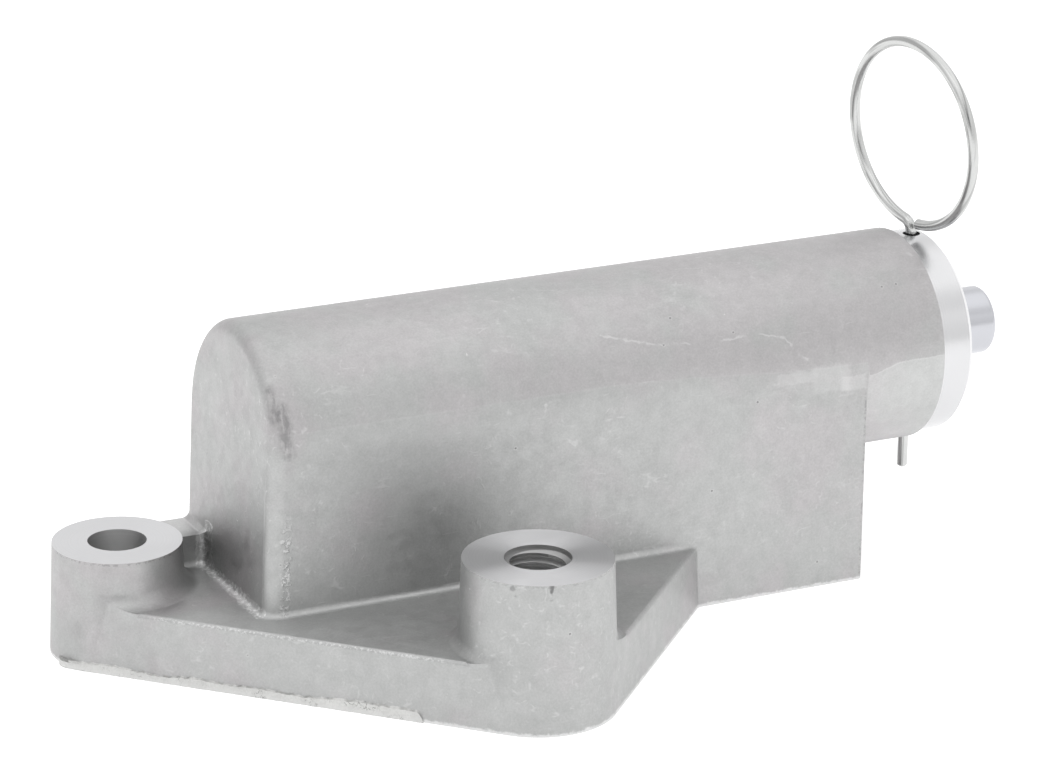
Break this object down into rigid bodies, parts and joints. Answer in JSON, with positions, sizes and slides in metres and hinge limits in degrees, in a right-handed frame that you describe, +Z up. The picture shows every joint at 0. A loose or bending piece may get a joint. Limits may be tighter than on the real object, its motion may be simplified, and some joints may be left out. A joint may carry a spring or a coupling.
{
  "type": "timing belt tensioner",
  "caption": "Hydraulic belt tensioner: cast aluminium housing with a bolt-down foot, and a sprung, oil-damped steel plunger held in by a wire lock pin with a pull ring.",
  "frame": {"origin": "axis of the plain bolt bore, on the base plane that is bolted to the engine", "axes": "+X along the plunger's axis, out of the open end; +Z up the bolts' axes, away from the engine; -Y towards the threaded boss"},
  "size_m": [0.1586, 0.0696, 0.0834],
  "materials": {
    "cast_aluminium": "satin as-cast skin, machined boss tops and collar",
    "ground_steel": "ground and polished",
    "turned_steel": "turned",
    "pressed_steel": "pressed sheet, dull",
    "spring_steel": "oiled spring steel",
    "guide_iron": "sintered, machined",
    "bearing_bronze": "dry bearing strip",
    "seal_rubber": "moulded black rubber",
    "pin_wire": "drawn bright wire"
  },
  "bodies": {
    "housing": {"housing": "cast_aluminium", "pressure_cylinder": "turned_steel", "valve_seat": "turned_steel", "valve_cage": "pressed_steel", "check_ball_spring": "spring_steel", "return_spring": "spring_steel", "rod_guide": "guide_iron", "guide_liner": "bearing_bronze", "guide_o_ring": "seal_rubber", "rod_seal": "seal_rubber", "seal_case": "pressed_steel", "seal_spring": "spring_steel", "backing_washer": "pressed_steel", "snap_ring": "spring_steel"},
    "plunger": {"plunger_rod": "ground_steel", "piston": "turned_steel", "rod_clip": "spring_steel", "spring_seat": "turned_steel"},
    "check_ball": {"check_ball": "ground_steel"},
    "lock_pin": {"lock_pin": "pin_wire"}
  },
  "joints": [
    {"name": "plunger_slide", "type": "slide", "parent": "housing", "child": "plunger", "axis": [1, 0, 0], "range_m": [0, 0.009], "deforming": ["return_spring"]},
    {"name": "check_ball_lift", "type": "slide", "parent": "housing", "child": "check_ball", "axis": [1, 0, 0], "range_m": [0, 0.0006], "stiffness_N_per_m": 20, "springref_m": -0.0002, "deforming": ["check_ball_spring"]},
    {"name": "lock_pin_pull", "type": "slide", "parent": "housing", "child": "lock_pin", "axis": [0, 0, 1], "range_m": [0, 0.045]}
  ]
}
